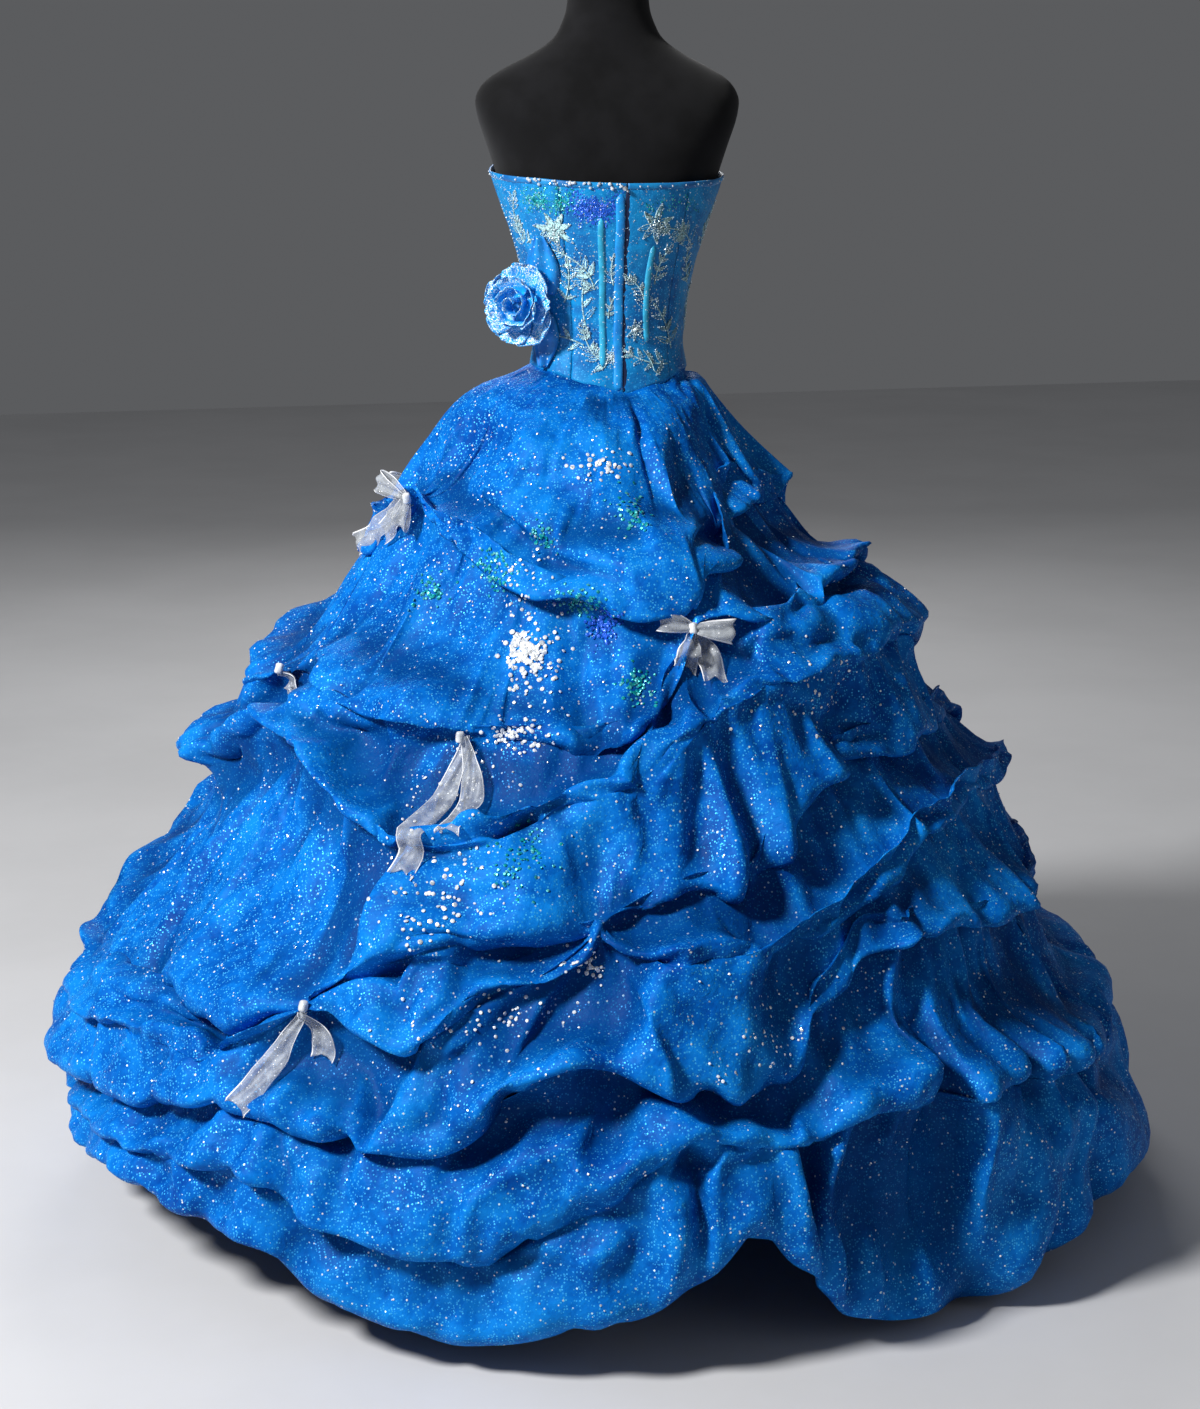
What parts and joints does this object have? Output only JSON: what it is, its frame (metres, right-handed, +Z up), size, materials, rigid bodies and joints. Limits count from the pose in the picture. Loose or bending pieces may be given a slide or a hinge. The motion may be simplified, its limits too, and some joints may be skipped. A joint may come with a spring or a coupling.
{
  "type": "ball gown on dress form",
  "caption": "Strapless ball gown with a fitted beaded bodice, a side rosette and a wide picked-up skirt with small bows, worn on a limbless dress form on a round stand.",
  "frame": {"origin": "centre of the stand base's underside, on the floor", "axes": "+Z up, the front of the gown towards -Y, the centre back towards +Y, the wearer's left towards +X"},
  "size_m": [1.5066, 1.4958, 1.656],
  "materials": {
    "form_black": "matte stretched cover",
    "stand_black": "satin",
    "satin_aqua": "glitter satin with a soft sheen",
    "satin_pale": "satin, pale bands",
    "organza_blue": "glitter organza over blue, sequinned",
    "lace_silver": "beaded lace",
    "crystal": "polished bead",
    "ribbon_grey": "translucent organza ribbon"
  },
  "bodies": {
    "root": {"back_hook_bead": "crystal", "back_placket": "satin_pale", "bodice_back_left": "satin_aqua", "bodice_back_right": "satin_aqua", "bodice_front_centre": "satin_aqua", "bodice_side_back_left": "satin_aqua", "bodice_side_back_right": "satin_aqua", "bodice_side_front_left": "satin_aqua", "bodice_side_front_right": "satin_aqua", "bodice_top_binding": "satin_aqua", "boning_channel_left": "satin_pale", "boning_channel_right": "satin_pale", "bow_centre_back_knot": "ribbon_grey", "bow_centre_back_loops": "ribbon_grey", "bow_centre_back_tails": "ribbon_grey", "bow_front_centre_knot": "ribbon_grey", "bow_front_centre_loops": "ribbon_grey", "bow_front_centre_tails": "ribbon_grey", "bow_front_left_knot": "ribbon_grey", "bow_front_left_loops": "ribbon_grey", "bow_front_left_tails": "ribbon_grey", "bow_front_right_knot": "ribbon_grey", "bow_front_right_loops": "ribbon_grey", "bow_front_right_tails": "ribbon_grey", "bow_hip_left_knot": "ribbon_grey", "bow_hip_left_loops": "ribbon_grey", "bow_hip_left_tails": "ribbon_grey", "bow_low_left_tails": "ribbon_grey", "bow_side_left_tails": "ribbon_grey", "bow_side_right_knot": "ribbon_grey", "bow_side_right_loops": "ribbon_grey", "bow_side_right_tails": "ribbon_grey", "bow_swag_left_tails": "ribbon_grey", "form_torso": "form_black", "lace_corner_back_left": "lace_silver", "lace_corner_back_right": "lace_silver", "lace_flower_back_left": "lace_silver", "lace_flower_back_right": "lace_silver", "lace_leaf_back_left": "lace_silver", "lace_spray_side_right": "lace_silver", "lace_sprig_back_left": "lace_silver", "lace_sprig_side_right": "lace_silver", "rosette_leaf_down": "satin_aqua", "rosette_leaf_up": "satin_aqua", "rosette_petal_lower": "satin_aqua", "rosette_petal_outer": "satin_aqua", "rosette_petal_upper": "satin_aqua", "rosette_rolled_strip": "satin_aqua", "skirt_gore_back_left": "organza_blue", "skirt_gore_back_right": "organza_blue", "skirt_gore_front_left": "organza_blue", "skirt_gore_front_right": "organza_blue", "skirt_gore_side_left": "organza_blue", "skirt_gore_side_right": "organza_blue", "stand_base": "stand_black", "stand_pole": "stand_black"}
  },
  "joints": []
}
